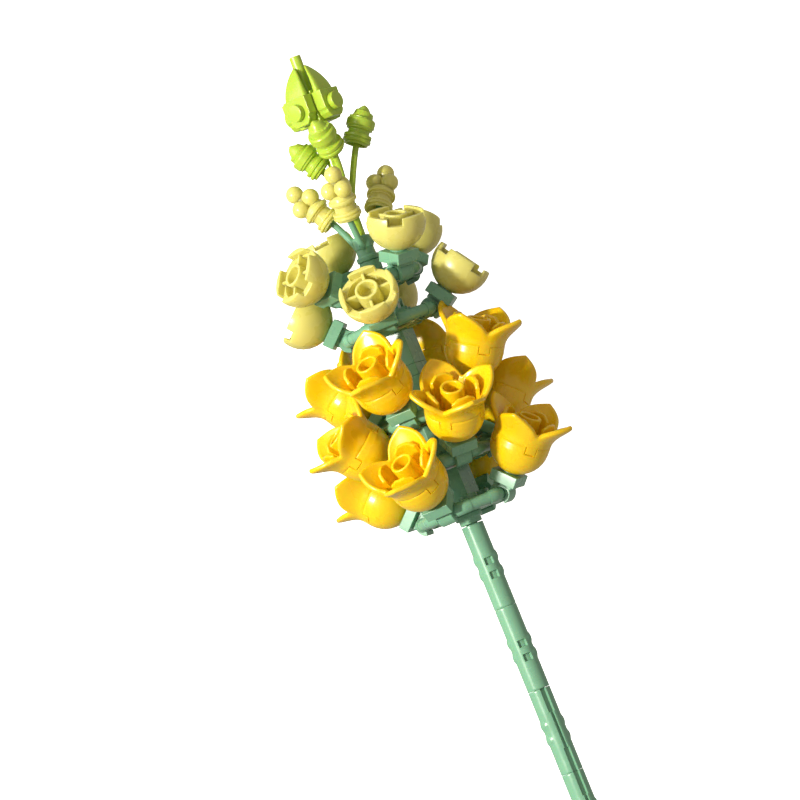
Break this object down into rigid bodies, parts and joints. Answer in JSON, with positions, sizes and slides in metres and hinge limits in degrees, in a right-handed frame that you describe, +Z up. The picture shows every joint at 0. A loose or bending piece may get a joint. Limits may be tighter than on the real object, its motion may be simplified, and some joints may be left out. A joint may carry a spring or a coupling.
{
  "type": "snapdragon flower stem built from interlocking toy bricks",
  "caption": "Long green plastic stem with a spike of clipped-on yellow cup-shaped blooms, paler closing cups, small buds and a pointed lime tip; lies on its petals.",
  "frame": {"origin": "middle of the bounding box's base, on the surface that the flower lies on", "axes": "+X along the stem towards the tip, +Z up, out of the side that the picture shows, +Y to the left of the head as seen in the picture with the tip up"},
  "size_m": [0.3516, 0.0698, 0.069],
  "materials": {
    "stem_green": "glossy moulded plastic, sand green",
    "petal_yellow": "glossy moulded plastic, bright warm yellow",
    "pale_yellow": "glossy moulded plastic, light cool yellow",
    "lime": "glossy moulded plastic, lime green"
  },
  "bodies": {
    "root": {"stem_sleeve_1": "stem_green", "stem_sleeve_2": "stem_green", "stem_sleeve_3": "stem_green", "stem_sleeve_4": "stem_green", "stem_sleeve_5": "stem_green", "stem_sleeve_6": "stem_green", "stem_sleeve_7": "stem_green", "stem_sleeve_8": "stem_green", "stem_sleeve_9": "stem_green", "core_rod": "stem_green", "hub_plate_1": "stem_green", "clip_tile_1_1": "stem_green", "bloom_1_1": "petal_yellow", "clip_tile_1_2": "stem_green", "bloom_1_2": "petal_yellow", "clip_tile_1_3": "stem_green", "bloom_1_3": "petal_yellow", "clip_tile_1_4": "stem_green", "bloom_1_4": "petal_yellow", "hub_plate_2": "stem_green", "clip_tile_2_1": "stem_green", "bloom_2_1": "petal_yellow", "clip_tile_2_2": "stem_green", "bloom_2_2": "petal_yellow", "clip_tile_2_3": "stem_green", "bloom_2_3": "petal_yellow", "clip_tile_2_4": "stem_green", "bloom_2_4": "petal_yellow", "hub_plate_3": "stem_green", "clip_tile_3_1": "stem_green", "bloom_3_1": "petal_yellow", "clip_tile_3_2": "stem_green", "bloom_3_2": "petal_yellow", "clip_tile_3_3": "stem_green", "bloom_3_3": "petal_yellow", "clip_tile_3_4": "stem_green", "bloom_3_4": "petal_yellow", "hub_plate_4": "stem_green", "clip_tile_4_1": "stem_green", "cup_4_1": "pale_yellow", "clip_tile_4_2": "stem_green", "cup_4_2": "pale_yellow", "clip_tile_4_3": "stem_green", "cup_4_3": "pale_yellow", "clip_tile_4_4": "stem_green", "cup_4_4": "pale_yellow", "hub_plate_5": "stem_green", "clip_tile_5_1": "stem_green", "cup_5_1": "pale_yellow", "clip_tile_5_2": "stem_green", "cup_5_2": "pale_yellow", "clip_tile_5_3": "stem_green", "cup_5_3": "pale_yellow", "clip_tile_5_4": "stem_green", "cup_5_4": "pale_yellow", "collar_sprig": "stem_green", "pale_bud_1": "pale_yellow", "pale_bud_2": "pale_yellow", "pale_bud_3": "pale_yellow", "lime_sprig": "lime"}
  },
  "joints": []
}
